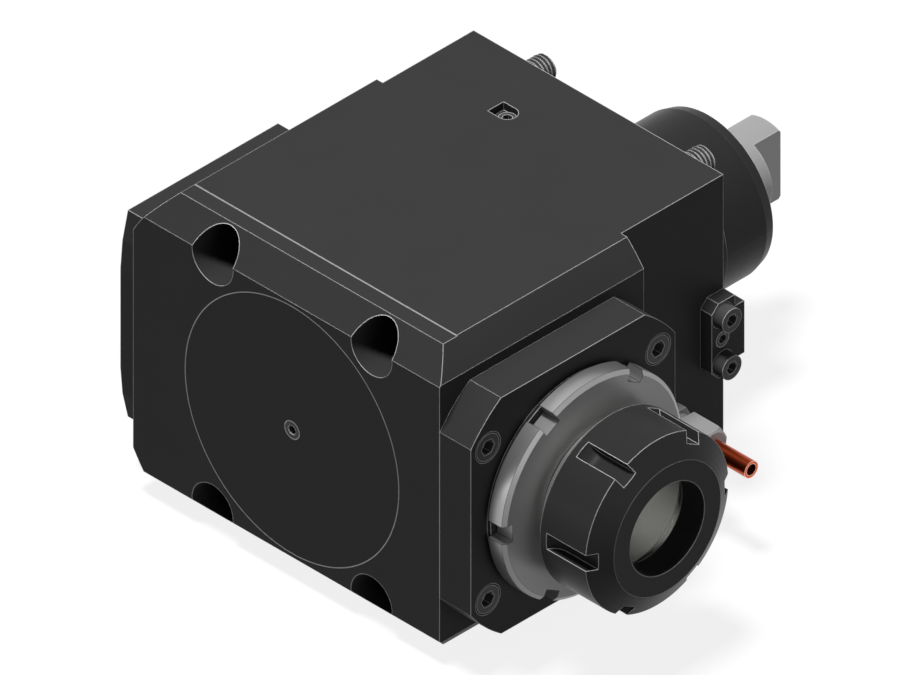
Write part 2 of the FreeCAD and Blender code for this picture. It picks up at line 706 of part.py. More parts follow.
def build_spindle_bearings():
    rows = [s.gear_seat_end, s.gear_seat_end + s.front_bearing_width]
    pieces = bearing_rings("spindle_front_bearing", "X", rows, s.front_bearing_bore,
                           s.front_bearing_outside, s.front_bearing_width)
    names = ("spindle_front_outer_rings", "spindle_front_inner_rings", "spindle_front_ball_rows")
    for body, name in zip(pieces, names):
        finished(on_spindle(body), name)
    start = -s.rear_bearing_start - s.rear_bearing_width
    pieces = bearing_rings("spindle_rear_bearing", "X", [start], s.rear_bearing_bore,
                           s.rear_bearing_outside, s.rear_bearing_width)
    names = ("spindle_rear_outer_ring", "spindle_rear_inner_ring", "spindle_rear_ball_row")
    for body, name in zip(pieces, names):
        finished(on_spindle(body), name)


def build_drive_bearings():
    start = s.gear_seat_end - s.spindle_offset
    rows = [start, start + s.pinion_bearing_width]
    pieces = bearing_rings("drive_front_bearing", "Y", rows, s.pinion_bearing_bore,
                           s.pinion_bearing_outside, s.pinion_bearing_width)
    names = ("drive_front_outer_rings", "drive_front_inner_rings", "drive_front_ball_rows")
    for body, name in zip(pieces, names):
        finished(body, name)
    pieces = bearing_rings("drive_rear_bearing", "Y", [s.shank_bearing_start],
                           s.shank_bearing_bore, s.shank_bearing_outside, s.shank_bearing_width)
    names = ("drive_rear_outer_ring", "drive_rear_inner_ring", "drive_rear_ball_row")
    for body, name in zip(pieces, names):
        finished(body, name)


build_spindle_bearings()
build_drive_bearings()


# Straight bevel gears: each tooth space narrows to the point where the two axes cross

def bevel_gear(name, bore, front_pocket, phase):
    """A gear along X with its cone's point at the origin. phase turns its tooth spaces."""
    lean = math.sqrt(0.5)
    tip_x, tip_r = s.pitch_radius - s.tooth_rise * lean, s.pitch_radius + s.tooth_rise * lean
    small = s.small_end / s.pitch_radius
    body = new_body(name)
    hub_x = s.pitch_radius * 2 - s.gear_hub_radius
    if front_pocket:
        pocket_x, pocket_r = front_pocket
        front = [(s.small_end, pocket_r), (pocket_x, pocket_r), (pocket_x, bore)]
    else:
        front = [(s.small_end, bore)]
    turned(body, "X", front + [
        (s.gear_seat_end, bore), (s.gear_seat_end, s.gear_hub_radius),
        (hub_x, s.gear_hub_radius), (tip_x, tip_r), (tip_x * small, tip_r * small),
        (s.small_end, s.small_end),
    ])
    half_pitch = math.tan(math.pi / s.gear_teeth.value)
    slant = Size(half_pitch, "tan(180 / sizes.gear_teeth)")

    def space_at(sketch, x):
        right = []
        for rise, half in (
            (-s.tooth_fall, s.half_at_root), (ZERO, s.half_at_pitch),
            (s.tooth_rise, s.half_at_tip), (s.tooth_rise * 1.6, s.half_at_tip * 0.4),
        ):
            radius = s.pitch_radius + rise * lean
            scale = x / (s.pitch_radius - rise * lean)
            right.append((radius * scale, (radius * slant - half) * scale))
        outline(sketch, right + [(u, -v) for u, v in reversed(right)])

    large = sketch_on(body, "YZ_Plane", s.pitch_radius * 1.2, phase)
    space_at(large, s.pitch_radius * 1.2)
    inner = sketch_on(body, "YZ_Plane", s.small_end * 0.85, phase)
    space_at(inner, s.small_end * 0.85)
    space = body.newObject("PartDesign::SubtractiveLoft", "tooth_space")
    space.Profile = large
    space.Sections = [inner]
    space.Ruled = True
    space.Refine = False
    spaces = round_about(body, [space], "X_Axis", s.gear_teeth)
    spaces.Refine = False
    return body


def key_slot(body, width, start, end, bottom):
    slot = sketch_on(body, "XY_Plane", bottom)
    rectangle(slot, start, -width * 0.5 - s.fit, end, width * 0.5 + s.fit)
    return slot


def build_gears():
    gear = bevel_gear("spindle_gear", s.rear_bearing_bore + s.fit, None, ZERO)
    slot = key_slot(gear, s.key_width, s.small_end * 0.9, s.gear_seat_end * 1.1, ZERO)
    cut = grown(gear, "Pocket", slot, s.key_top + s.fit, reverse=True)
    gear.Tip = cut
    finished(on_spindle(gear), "spindle_bevel_gear")

    half_pitch = Size(180 / s.gear_teeth.value, "180 / sizes.gear_teeth")
    pinion = bevel_gear("drive_gear", s.pinion_bore + s.fit,
                        (s.pinion_face, s.pinion_screw_head + s.gap), half_pitch)
    slot = key_slot(pinion, s.pinion_key_width, s.pinion_face * 0.9, s.gear_seat_end * 1.1, ZERO)
    cut = grown(pinion, "Pocket", slot, s.pinion_key_top + s.fit, reverse=True)
    pinion.Tip = cut
    place(pinion, y=-s.spindle_offset, turn=(Z_AXIS, 90))
    finished(pinion, "drive_bevel_gear")


build_gears()


# Spindle, turning in the flange's and the housing's bearings

def build_spindle():
    seat = s.front_bearing_bore
    tail = s.rear_bearing_bore
    front_end = s.gear_seat_end + s.front_bearing_width * 2
    taper_end = s.nose_end - s.taper_length
    clear_end = taper_end - s.clear_length
    body = new_body("spindle")
    turned(body, "X", [
        (-s.spindle_tail, s.through_radius), (-s.spindle_tail, tail - 1),
        (1 - s.spindle_tail, tail), (s.gear_seat_end, tail), (s.gear_seat_end, seat),
        (front_end, seat), (front_end, s.neck_radius), (s.nose_start, s.neck_radius),
        (s.nose_start, s.nose_radius), (s.nose_end - 1, s.nose_radius),
        (s.nose_end, s.nose_radius - 1), (s.nose_end, s.mouth_radius),
        (taper_end, s.taper_end_radius), (taper_end, s.clear_radius),
        (clear_end, s.clear_radius), (clear_end, s.through_radius),
    ])
    slot = key_slot(body, s.key_width, s.key_start - s.fit, s.key_end + s.fit, s.key_bottom - s.fit)
    grown(body, "Pocket", slot, tail, reverse=True)
    finished(on_spindle(body), "spindle")

    key = doc.addObject("Part::Box", "spindle_key")
    key.setExpression("Length", (s.key_end - s.key_start).text)
    key.setExpression("Width", s.key_width.text)
    key.setExpression("Height", (s.key_top - s.key_bottom).text)
    place(key, s.key_start, -s.spindle_offset - s.key_width * 0.5, s.key_bottom)
    finished(key, "spindle_gear_key")

    sleeve = new_body("spacer_sleeve")
    inside = tail + s.fit
    turned(sleeve, "X", [
        (-s.rear_bearing_start, inside), (-s.rear_bearing_start, inside + s.sleeve_wall),
        (s.small_end, inside + s.sleeve_wall), (s.small_end, inside),
    ])
    finished(on_spindle(sleeve), "spindle_spacer_sleeve")

    start = -s.rear_bearing_start - s.rear_bearing_width
    nut = new_body("spindle_nut")
    turned(nut, "X", [
        (start - s.lock_nut_length, inside), (start - s.lock_nut_length, s.spindle_nut_radius),
        (start, s.spindle_nut_radius), (start, inside),
    ])
    finished(on_spindle(nut), "spindle_lock_nut")


build_spindle()


# Drive shaft: carries the pinion, runs through the shank and ends in the driving tang

def build_drive_shaft():
    seat = s.pinion_bearing_bore
    pinion_back = s.gear_seat_end - s.spindle_offset
    shaft_start = s.pinion_face + s.gap - s.spindle_offset
    rings_end = pinion_back + s.pinion_bearing_width * 2
    body = new_body("drive_shaft")
    turned(body, "Y", [
        (shaft_start, ZERO), (shaft_start, s.pinion_bore), (pinion_back, s.pinion_bore),
        (pinion_back, seat), (rings_end + s.lock_nut_length, seat),
        (rings_end + s.lock_nut_length, s.shaft_waist),
        (s.shank_bearing_start - s.collar_width, s.shaft_waist),
        (s.shank_bearing_start - s.collar_width, s.collar_radius),
        (s.shank_bearing_start, s.collar_radius), (s.shank_bearing_start, seat),
        (s.shank_bearing_start + s.shank_bearing_width, seat),
        (s.shank_bearing_start + s.shank_bearing_width, s.nose_shaft_radius),
        (s.tang_end - s.tang_break, s.nose_shaft_radius),
        (s.tang_end, s.nose_shaft_radius - s.tang_break), (s.tang_end, ZERO),
    ])
    flats = sketch_on(body, "XY_Plane")
    for side in (-1, 1):
        rectangle(flats, s.tang_half * side, s.nose_shaft_end,
                  s.nose_shaft_radius * 1.2 * side, s.tang_end * 1.1)
    grown(body, "Pocket", flats, s.nose_shaft_radius * 4, midplane=True)
    end_hole = sketch_on(body, "XZ_Plane", -shaft_start)
    circle(end_hole, 0, 0, s.pinion_screw_thread + s.fit)
    grown(body, "Pocket", end_hole, s.pinion_screw_length)
    slot = sketch_on(body, "XY_Plane", s.pinion_key_bottom - s.fit)
    rectangle(slot, -s.pinion_key_width * 0.5 - s.fit, s.key_start + 2 - s.spindle_offset - s.fit,
              s.pinion_key_width * 0.5 + s.fit, s.key_end - s.spindle_offset + s.fit)
    grown(body, "Pocket", slot, s.pinion_bore, reverse=True)
    finished(body, "drive_shaft")

    key = doc.addObject("Part::Box", "pinion_key")
    key.setExpression("Length", s.pinion_key_width.text)
    key.setExpression("Width", (s.key_end - s.key_start - 2).text)
    key.setExpression("Height", (s.pinion_key_top - s.pinion_key_bottom).text)
    place(key, -s.pinion_key_width * 0.5, s.key_start + 2 - s.spindle_offset, s.pinion_key_bottom)
    finished(key, "drive_gear_key")

    clamp = screw("pinion_screw", s.pinion_screw_thread, s.pinion_screw_length - s.gap * 2,
                  s.flange_socket, s.pinion_screw_thickness * 0.6,
                  (s.pinion_screw_head, s.pinion_screw_thickness))
    place(clamp, y=s.pinion_face - s.spindle_offset, turn=(Z_AXIS, 180))
    finished(clamp, "drive_gear_screw")

    nut = new_body("drive_nut")
    turned(nut, "Y", [
        (rings_end, seat + s.fit), (rings_end, s.drive_nut_radius),
        (rings_end + s.lock_nut_length, s.drive_nut_radius),
        (rings_end + s.lock_nut_length, seat + s.fit),
    ])
    finished(nut, "drive_lock_nut")

    clip = new_body("pinion_bearing_clip")
    turned(clip, "Y", [
        (pinion_back - s.clip_width + s.fit, s.gear_hub_radius + s.gap * 2),
        (pinion_back - s.clip_width + s.fit, s.pinion_bearing_outside + s.clip_depth - s.fit),
        (pinion_back - s.fit, s.pinion_bearing_outside + s.clip_depth - s.fit),
        (pinion_back - s.fit, s.gear_hub_radius + s.gap * 2),
    ])
    finished(clip, "pinion_bearing_retaining_ring")

    seal = new_body("shaft_seal_body")
    seal_end = s.shaft_seal_start + s.shaft_seal_width
    turned(seal, "Y", [
        (s.shaft_seal_start, s.nose_shaft_radius + s.gap),
        (s.shaft_seal_start, s.shank_bearing_outside), (seal_end, s.shank_bearing_outside),
        (seal_end, s.nose_shaft_radius + s.gap),
    ])
    finished(seal, "shaft_seal")

    ring = new_body("seal_clip")
    turned(ring, "Y", [
        (seal_end + s.fit, s.nose_shaft_radius + s.gap * 8),
        (seal_end + s.fit, s.shank_bearing_outside + s.clip_depth - s.fit),
        (seal_end + s.clip_width - s.fit, s.shank_bearing_outside + s.clip_depth - s.fit),
        (seal_end + s.clip_width - s.fit, s.nose_shaft_radius + s.gap * 8),
    ])
    finished(ring, "shaft_seal_retaining_ring")


build_drive_shaft()


# Spindle flange: square plate with a tube into the housing that holds the front bearings

def build_flange():
    body = new_body("flange")
    bore = s.front_bearing_outside + s.fit
    lip_end = s.flange_start + s.lip_width
    turned(body, "X", [
        (s.flange_start, s.lip_radius), (s.flange_start, s.tube_radius),
        (s.nose_side, s.tube_radius), (s.nose_side, s.flange_radius),
        (s.flange_front, s.flange_radius), (s.flange_front, s.boss_radius),
        (s.boss_front, s.boss_radius), (s.boss_front, bore), (lip_end, bore),
        (lip_end, s.lip_radius),
    ])
    sides = sketch_on(body, "YZ_Plane", s.nose_side)
    rectangle(sides, -s.flange_half, -s.flange_half, s.flange_half, s.flange_half)
    rectangle(sides, -s.flange_half * 2, -s.flange_half * 2, s.flange_half * 2, s.flange_half * 2)
    grown(body, "Pocket", sides, s.flange_front, reverse=True)
    seat = s.flange_front - s.flange_head_height
    wells = sketch_on(body, "YZ_Plane", seat)
    holes = sketch_on(body, "YZ_Plane", seat)
    for y in (-s.flange_screw_y, s.flange_screw_y):
        for z in (-s.flange_screw_z, s.flange_screw_z):
            circle(wells, y, z, s.flange_bore_radius)
            circle(holes, y, z, s.flange_screw_radius * 1.1)
    grown(body, "Pocket", wells, s.flange_front, reverse=True)
    grown(body, "Pocket", holes, s.flange_front)
    finished(on_spindle(body), "spindle_flange")

    cap = screw("flange_screw", s.flange_screw_radius, s.flange_screw_length, s.flange_socket,
                s.flange_head_height * 0.6, (s.flange_head_radius, s.flange_head_height))
    place(cap, x=seat, y=s.flange_screw_y - s.spindle_offset, z=s.flange_screw_z,
          turn=(Z_AXIS, -90))
    pair = mirrored(cap, Y_AXIS, -s.spindle_offset)
    finished(mirrored(pair, Z_AXIS), "flange_screws")


build_flange()


# Slotted ring nut: screwed into the flange against the bearings, with the spindle's seal in it

def build_ring_nut():
    body = new_body("ring_nut")
    start = s.gear_seat_end + s.front_bearing_width * 2
    bore = s.neck_radius + s.gap
    turned(body, "X", [
        (start, s.ring_seal_radius), (start, s.front_bearing_outside),
        (s.ring_back, s.front_bearing_outside), (s.ring_back, s.ring_radius),
        (s.ring_front - s.ring_chamfer, s.ring_radius),
        (s.ring_front, s.ring_face_radius), (s.ring_front, bore),
        (s.ring_front - s.ring_wall, bore), (s.ring_front - s.ring_wall, s.ring_seal_radius),
    ])
    slot = sketch_on(body, "YZ_Plane", s.ring_back)
    rectangle(slot, s.ring_slot_floor, -s.ring_slot_width * 0.5,
              s.ring_radius * 1.2, s.ring_slot_width * 0.5)
    cut = grown(body, "Pocket", slot, s.ring_front, reverse=True)
    round_about(body, [cut], "X_Axis", s.slots)
    finished(on_spindle(body), "slotted_ring_nut")

    seal = new_body("nose_seal")
    end = s.ring_front - s.ring_wall
    turned(seal, "X", [
        (end - s.spindle_seal_width, s.neck_radius + s.gap),
        (end - s.spindle_seal_width, s.ring_seal_radius - s.fit),
        (end, s.ring_seal_radius - s.fit), (end, s.neck_radius + s.gap),
    ])
    finished(on_spindle(seal), "spindle_seal")


build_ring_nut()


# Collet nut and the pressing ring that bears on a collet's front cone

def build_collet_nut():
    body = new_body("nut")
    shoulder = s.nut_front - s.nut_bore_length
    ring_start = shoulder - s.press_ring_length - s.gap * 2
    thread = s.nose_radius + s.running
    room = s.press_ring_radius + s.gap
    turned(body, "X", [
        (s.nut_back, thread), (s.nut_back, s.nut_radius - s.nut_break),
        (s.nut_back + s.nut_break, s.nut_radius), (s.nut_cone_start, s.nut_radius),
        (s.nut_front, s.nut_face_radius), (s.nut_front, s.nut_bore), (shoulder, s.nut_bore),
        (shoulder, room), (ring_start, room), (ring_start, thread),
    ])
    run_out = sketch_on(body, "XY_Plane")
    circle(run_out, s.nut_slot_tangent, s.nut_slot_floor + s.nut_cutter, s.nut_cutter)
    curved = grown(body, "Pocket", run_out, s.nut_slot_width, midplane=True)
    flat = sketch_on(body, "XY_Plane")
    rectangle(flat, s.nut_slot_tangent, s.nut_slot_floor, s.nut_front * 1.1, s.nut_radius * 1.1)
    straight = grown(body, "Pocket", flat, s.nut_slot_width, midplane=True)
    round_about(body, [curved, straight], "X_Axis", s.slots)
    finished(on_spindle(body), "collet_nut")

    ring = new_body("pressing_ring")
    back = ring_start + s.gap
    front = shoulder - s.gap
    turned(ring, "X", [
        (back, s.press_ring_rear), (back, s.press_ring_radius),
        (front, s.press_ring_radius), (front, s.press_ring_mouth),
    ])
    finished(on_spindle(ring), "collet_pressing_ring")


build_collet_nut()


# Rear cover: closes the housing behind the spindle and holds its rear bearing

def build_rear_cover():
    body = new_body("cover_plate")
    face = -s.cover_side
    back = face - s.plate_thickness
    plate = sketch_on(body, "YZ_Plane", back)
    front_upper = [
        (-s.plate_half, s.plate_flat),
        (s.plate_lean * 0.27 - s.plate_half, (s.plate_flat + s.plate_half_height) * 0.5),
        (s.plate_lean - s.plate_half, s.plate_half_height),
    ]
    rear_upper = [
        (s.plate_half - s.plate_corner, s.plate_half_height),
        (s.plate_half, s.plate_half_height - s.plate_corner),
    ]
    upper = front_upper + rear_upper
    outline(plate, upper + [(u, -v) for u, v in reversed(upper)])
    grown(body, "Pad", plate, s.plate_thickness)
    spigot = s.rear_bearing_outside - s.fit
    bearing_back = -s.rear_bearing_start - s.rear_bearing_width
    turned(body, "X", [
        (face - 1, ZERO), (bearing_back, ZERO), (bearing_back, spigot), (face - 1, spigot)])
    turned(body, "X", [
        (-s.plate_floor, ZERO), (ZERO, ZERO), (ZERO, s.plate_recess),
        (-s.plate_floor, s.plate_recess)], "Groove")
    wells = sketch_on(body, "YZ_Plane", back + s.plate_bore_depth)
    holes = sketch_on(body, "YZ_Plane", back)
    for y in (-s.plate_screw, s.plate_screw):
        for z in (-s.plate_screw, s.plate_screw):
            circle(wells, y, z, s.plate_bore_radius)
            circle(holes, y, z, s.plate_screw_radius * 1.1)
    grown(body, "Pocket", wells, s.plate_thickness)
    grown(body, "Pocket", holes, s.plate_thickness * 1.1, reverse=True)
    finished(on_spindle(body), "rear_cover")

    cap = screw("cover_screw", s.plate_screw_radius, s.plate_screw_length, s.small_socket,
                s.plate_head_height * 0.6, (s.plate_head_radius, s.plate_head_height))
    place(cap, x=back + s.plate_bore_depth, y=s.plate_screw - s.spindle_offset, z=s.plate_screw,
          turn=(Z_AXIS, 90))
    pair = mirrored(cap, Y_AXIS, -s.spindle_offset)
    finished(mirrored(pair, Z_AXIS), "rear_cover_screws")


build_rear_cover()


# Alignment key block: screwed to the block's side, its tongue enters the turret's keyway

def build_alignment_key():
    body = new_body("guide")
    plan = sketch_on(body, "YZ_Plane", s.rear_half_width)
    upper = [
        (-s.guide_length, s.guide_half - s.guide_cut), (s.guide_cut - s.guide_length, s.guide_half),
        (ZERO, s.guide_half), (ZERO, s.guide_tongue), (s.guide_reach, s.guide_tongue),
    ]
    outline(plan, upper + [(u, -v) for u, v in reversed(upper)])
    grown(body, "Pad", plan, s.guide_thickness)
    seat = s.rear_half_width + s.guide_thickness - s.guide_spot_depth
    spots = sketch_on(body, "YZ_Plane", seat)
    holes = sketch_on(body, "YZ_Plane", seat)
    for z in (-s.guide_screw_z, s.guide_screw_z):
        circle(spots, -s.guide_screw_y, z, s.guide_spot)
        circle(holes, -s.guide_screw_y, z, s.plate_screw_radius * 1.1)
    grown(body, "Pocket", spots, s.guide_thickness, reverse=True)
    grown(body, "Pocket", holes, s.guide_thickness)
    pin_hole = sketch_on(body, "YZ_Plane", s.rear_half_width)
    circle(pin_hole, -s.guide_screw_y, ZERO, s.guide_pin_radius + s.fit)
    grown(body, "Pocket", pin_hole, s.guide_thickness * 1.1, reverse=True)
    finished(body, "alignment_key")

    cap = screw("guide_screw", s.plate_screw_radius, s.guide_screw_length, s.small_socket,
                s.plate_head_height * 0.6, (s.plate_head_radius, s.plate_head_height))
    place(cap, x=seat, y=-s.guide_screw_y, z=s.guide_screw_z, turn=(Z_AXIS, -90))
    finished(mirrored(cap, Z_AXIS), "alignment_key_screws")

    pin = screw("guide_pin", s.guide_pin_radius, s.guide_pin_length, s.plug_socket,
                s.guide_pin_radius)
    place(pin, x=s.rear_half_width + s.guide_thickness, y=-s.guide_screw_y, turn=(Z_AXIS, -90))
    finished(pin, "alignment_set_screw")


build_alignment_key()


# Plug screw in the pocket on top

def build_top_plug():
    plug = screw("top_plug_body", s.top_plug_radius, s.top_plug_length, s.plug_socket,
                 s.top_plug_radius * 0.8)
    place(plug, x=-s.pocket_centre, y=-s.pocket_y,
          z=s.half_height - s.pocket_depth + s.top_plug_rise, turn=(X_AXIS, 90))
    finished(plug, "top_plug_screw")


build_top_plug()


# Coolant connection: port seal, nipple, union nut and a straight copper tube

def build_coolant():
    hex_radius = s.coolant_flat / math.sqrt(0.75)
    face = s.rear_half_width
    hex_end = face + s.nipple_hex
    union_start = hex_end + s.neck_gap
    neck_end = union_start + s.neck_cover
    union_end = union_start + s.union_length

    def across(body, start, length):
        hexes = sketch_on(body, "YZ_Plane", start)
        hexagon(hexes, hex_radius)
        return grown(body, "Pad", hexes, length)

    nipple = new_body("nipple")
    across(nipple, face, s.nipple_hex)
    turned(nipple, "X", [
        (face - s.nipple_depth, ZERO), (face - s.nipple_depth, s.nipple_thread),
        (face, s.nipple_thread), (face + 1, s.nipple_neck), (neck_end, s.nipple_neck),
        (neck_end, ZERO),
    ])
    turned(nipple, "X", [
        (face - s.nipple_depth * 1.1, ZERO), (face - s.nipple_depth * 1.1, s.tube_bore),
        (hex_end, s.tube_bore), (hex_end, s.tube_outside + s.fit),
        (neck_end * 1.1, s.tube_outside + s.fit), (neck_end * 1.1, ZERO),
    ], "Groove")
    place(nipple, y=-s.coolant_y, z=-s.coolant_z)
    finished(nipple, "coolant_nipple")

    union = new_body("union")
    across(union, union_start, s.union_length)
    turned(union, "X", [
        (union_start * 0.9, ZERO), (union_start * 0.9, s.nipple_neck + s.fit),
        (neck_end + s.gap, s.nipple_neck + s.fit), (neck_end + s.gap, s.tube_outside + s.fit),
        (union_end * 1.1, s.tube_outside + s.fit), (union_end * 1.1, ZERO),
    ], "Groove")
    turned(union, "X", [
        (union_end - s.union_dome, hex_radius), (union_end, s.coolant_flat * 0.9),
        (union_end * 1.1, s.coolant_flat * 0.9), (union_end * 1.1, hex_radius * 1.5),
        (union_end - s.union_dome, hex_radius * 1.5),
    ], "Groove")
    place(union, y=-s.coolant_y, z=-s.coolant_z)
    finished(union, "coolant_union_nut")

    tube = new_body("tube")
    turned(tube, "X", [
        (hex_end, s.tube_bore), (hex_end, s.tube_outside),
        (s.tube_end, s.tube_outside), (s.tube_end, s.tube_bore),
    ])
    place(tube, y=-s.coolant_y, z=-s.coolant_z)
    finished(tube, "coolant_tube")

    seal = new_body("port_seal")
    turned(seal, "Y", [
        (s.fit - s.port_seal_depth, s.port_radius + s.gap),
        (s.fit - s.port_seal_depth, s.port_seal_radius - s.fit),
        (ZERO - s.fit, s.port_seal_radius - s.fit), (ZERO - s.fit, s.port_radius + s.gap),
    ])
    place(seal, x=s.port_x, z=-s.coolant_z)
    finished(seal, "coolant_port_seal")


build_coolant()


# Every object is checked before anything is written

doc.recompute()
faults = [f"{o.Label}: {o.State}" for o in doc.Objects
          if "Invalid" in o.State or "Error" in o.State]
for thing in made:
    if thing.Shape.isNull() or not thing.Shape.isValid():
        faults.append(f"{thing.Label}: no valid shape")
if faults:
    raise SystemExit("\n".join(faults))
os.makedirs("parts", exist_ok=True)
for thing in made:
    thing.Shape.exportStep(f"parts/{thing.Label}.step")
    print(thing.Label, len(thing.Shape.Solids), round(thing.Shape.Volume, 1))
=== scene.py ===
import math

import bpy
import numpy as np
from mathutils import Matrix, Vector


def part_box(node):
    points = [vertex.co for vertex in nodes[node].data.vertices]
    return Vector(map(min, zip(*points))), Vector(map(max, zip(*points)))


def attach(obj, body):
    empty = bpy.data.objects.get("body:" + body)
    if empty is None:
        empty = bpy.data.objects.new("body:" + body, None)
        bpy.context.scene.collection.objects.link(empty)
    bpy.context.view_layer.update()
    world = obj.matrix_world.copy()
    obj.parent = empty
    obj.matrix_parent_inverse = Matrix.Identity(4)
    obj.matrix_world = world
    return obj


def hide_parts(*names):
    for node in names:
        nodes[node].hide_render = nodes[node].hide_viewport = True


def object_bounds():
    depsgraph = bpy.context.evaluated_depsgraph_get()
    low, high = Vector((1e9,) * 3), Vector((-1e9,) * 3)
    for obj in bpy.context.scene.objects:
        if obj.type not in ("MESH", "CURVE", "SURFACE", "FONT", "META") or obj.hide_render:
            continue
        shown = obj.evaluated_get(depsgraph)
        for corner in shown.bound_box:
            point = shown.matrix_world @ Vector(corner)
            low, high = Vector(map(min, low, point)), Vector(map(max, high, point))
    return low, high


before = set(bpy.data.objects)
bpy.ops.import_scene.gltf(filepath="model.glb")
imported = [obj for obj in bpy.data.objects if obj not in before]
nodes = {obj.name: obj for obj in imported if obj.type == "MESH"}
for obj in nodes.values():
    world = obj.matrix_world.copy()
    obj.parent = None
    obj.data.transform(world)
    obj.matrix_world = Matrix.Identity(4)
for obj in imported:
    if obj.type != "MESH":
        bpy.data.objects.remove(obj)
cad_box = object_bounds()
scene = bpy.context.scene
MM = 0.001

# ---------------------------------------------------------------- camera
# The photograph is a true isometric picture: equal angles to all three axes, and parallel
# edges stay parallel, so the camera is orthographic.
TARGET = Vector((-21.96, -43.44, -21.49)) * MM
FRAME_WIDTH = 280.3 * MM
DISTANCE = 1.5

towards_camera = Vector((1, -1, 1)).normalized()
camera = bpy.data.objects.new("camera", bpy.data.cameras.new("camera"))
camera.data.type = "ORTHO"
camera.data.ortho_scale = FRAME_WIDTH
camera.location = TARGET + towards_camera * DISTANCE
camera.rotation_mode = "QUATERNION"
camera.rotation_quaternion = towards_camera.to_track_quat("Z", "Y")
camera.data.clip_end = 2 * DISTANCE
scene.collection.objects.link(camera)
scene.camera = camera

# ---------------------------------------------------------------- studio
# One high key lamp, two weak lamps at the front and at the nose's side, and a white surround
# that shows in reflections and lights the object little.
AMBIENT = 0.06
scene.view_settings.view_transform = "Standard"


def sun(name, direction, strength, spread):
    """A far lamp that shines from a direction. Strength 1 shows a white card as white."""
    lamp = bpy.data.lights.new(name, "SUN")
    lamp.energy = strength * math.pi
    lamp.angle = math.radians(spread)
    thing = bpy.data.objects.new(name, lamp)
    thing.rotation_mode = "QUATERNION"
    thing.rotation_quaternion = Vector(direction).to_track_quat("Z", "Y")
    scene.collection.objects.link(thing)


sun("key", (-0.06, -0.15, 0.985), 1.0, 12)
sun("front", (-0.5, -0.85, 0.1), 0.06, 20)
sun("side", (0.9, -0.2, 0.2), 0.13, 40)


def add(tree, kind, inputs=(), **settings):
    """Adds a node with its settings. An input is a source to link or a plain value."""
    node = tree.nodes.new(kind)
    for key, value in settings.items():
        setattr(node, key, value)
    for key, value in dict(inputs).items():
        if isinstance(value, bpy.types.NodeSocket):
            tree.links.new(value, node.inputs[key])
        else:
            node.inputs[key].default_value = value
    return node


def seen_directly(tree):
    """A mask that is 1 for the camera, for reflections and through glass, and 0 for light."""
    path = add(tree, "ShaderNodeLightPath")
    first = add(tree, "ShaderNodeMath", {0: path.outputs["Is Camera Ray"],
                                         1: path.outputs["Is Glossy Ray"]}, operation="MAXIMUM")
    both = add(tree, "ShaderNodeMath", {0: first.outputs[0],
                                        1: path.outputs["Is Transmission Ray"]},
               operation="MAXIMUM")
    return both.outputs[0]


world = bpy.data.worlds.new("surround")
scene.world = world
world.use_nodes = True
tree = world.node_tree
tree.nodes.clear()
level = add(tree, "ShaderNodeMapRange", {"Value": seen_directly(tree), "To Min": AMBIENT,
                                         "To Max": 1.0})
light = add(tree, "ShaderNodeBackground", {"Strength": level.outputs[0]})
add(tree, "ShaderNodeOutputWorld", {"Surface": light.outputs[0]})

# ---------------------------------------------------------------- housing and its flat parts
# The block is milled from one piece of steel and blackened in a hot salt bath, and so are the
# flange that carries the spindle, the rear cover and the alignment key screwed to it.
# The oxide is a few microns thick: satin black with a faint cutter grain, and every sharp
# edge is rubbed down to a thin light line.
EDGE_BAND = 0.42 * MM       # wider than real wear, so that it shows
BAND_STARTS, BAND_FULL = 0.995, 0.95    # how far the rounded normal agrees with the face's
TOOL_GRAIN = 0.35 * MM      # coarser than real cutter marks, so that it shows
GRAIN_DEPTH = 0.012 * MM
CLOUD = 18 * MM
CLOUD_SHADE = 0.05
ROUGHNESS_SHAKE = 0.04
MIX_FIRST, MIX_SECOND, MIXED = 6, 7, 2      # a colour mix's two colours and its result


def linear(code):
    """An sRGB hex colour as linear RGBA."""
    parts = [int(code[i:i + 2], 16) / 255 for i in (1, 3, 5)]
    return [c / 12.92 if c < 0.04045 else ((c + 0.055) / 1.055) ** 2.4 for c in parts] + [1]


def new_material(name):
    """An empty material: itself, its node tree and its shader, joined to the output."""
    material = bpy.data.materials.new(name)
    material.use_nodes = True
    tree = material.node_tree
    tree.nodes.clear()
    shader = add(tree, "ShaderNodeBsdfPrincipled")
    add(tree, "ShaderNodeOutputMaterial", {"Surface": shader.outputs[0]})
    return material, tree, shader


def dress(material, *names):
    """Gives CAD nodes a material in all their slots."""
    for name in names:
        for held in nodes[name].material_slots:
            held.material = material


def edge_band(tree):
    """A mask that is 1 along sharp edges: there the normal, rounded over the width of the band,
    turns away from the face's own normal. On the blackened parts the band is rubbed wear; on
    the ring nut it is a darker grey line."""
    rounded = add(tree, "ShaderNodeBevel", {"Radius": EDGE_BAND}, samples=8)
    own = add(tree, "ShaderNodeNewGeometry")
    same = add(tree, "ShaderNodeVectorMath", {0: rounded.outputs[0], 1: own.outputs["Normal"]},
               operation="DOT_PRODUCT")
    mask = add(tree, "ShaderNodeMapRange", {"Value": same.outputs["Value"],
                                            "From Min": BAND_STARTS, "From Max": BAND_FULL})
    return mask.outputs[0]


def cutter_grain(tree):
    """Height of a milled face: fine even noise at the size of a cutter's marks."""
    place = add(tree, "ShaderNodeTexCoord")
    grain = add(tree, "ShaderNodeTexNoise", {"Vector": place.outputs["Object"],
                                             "Scale": 1 / TOOL_GRAIN, "Detail": 2.0})
    return grain.outputs[0]


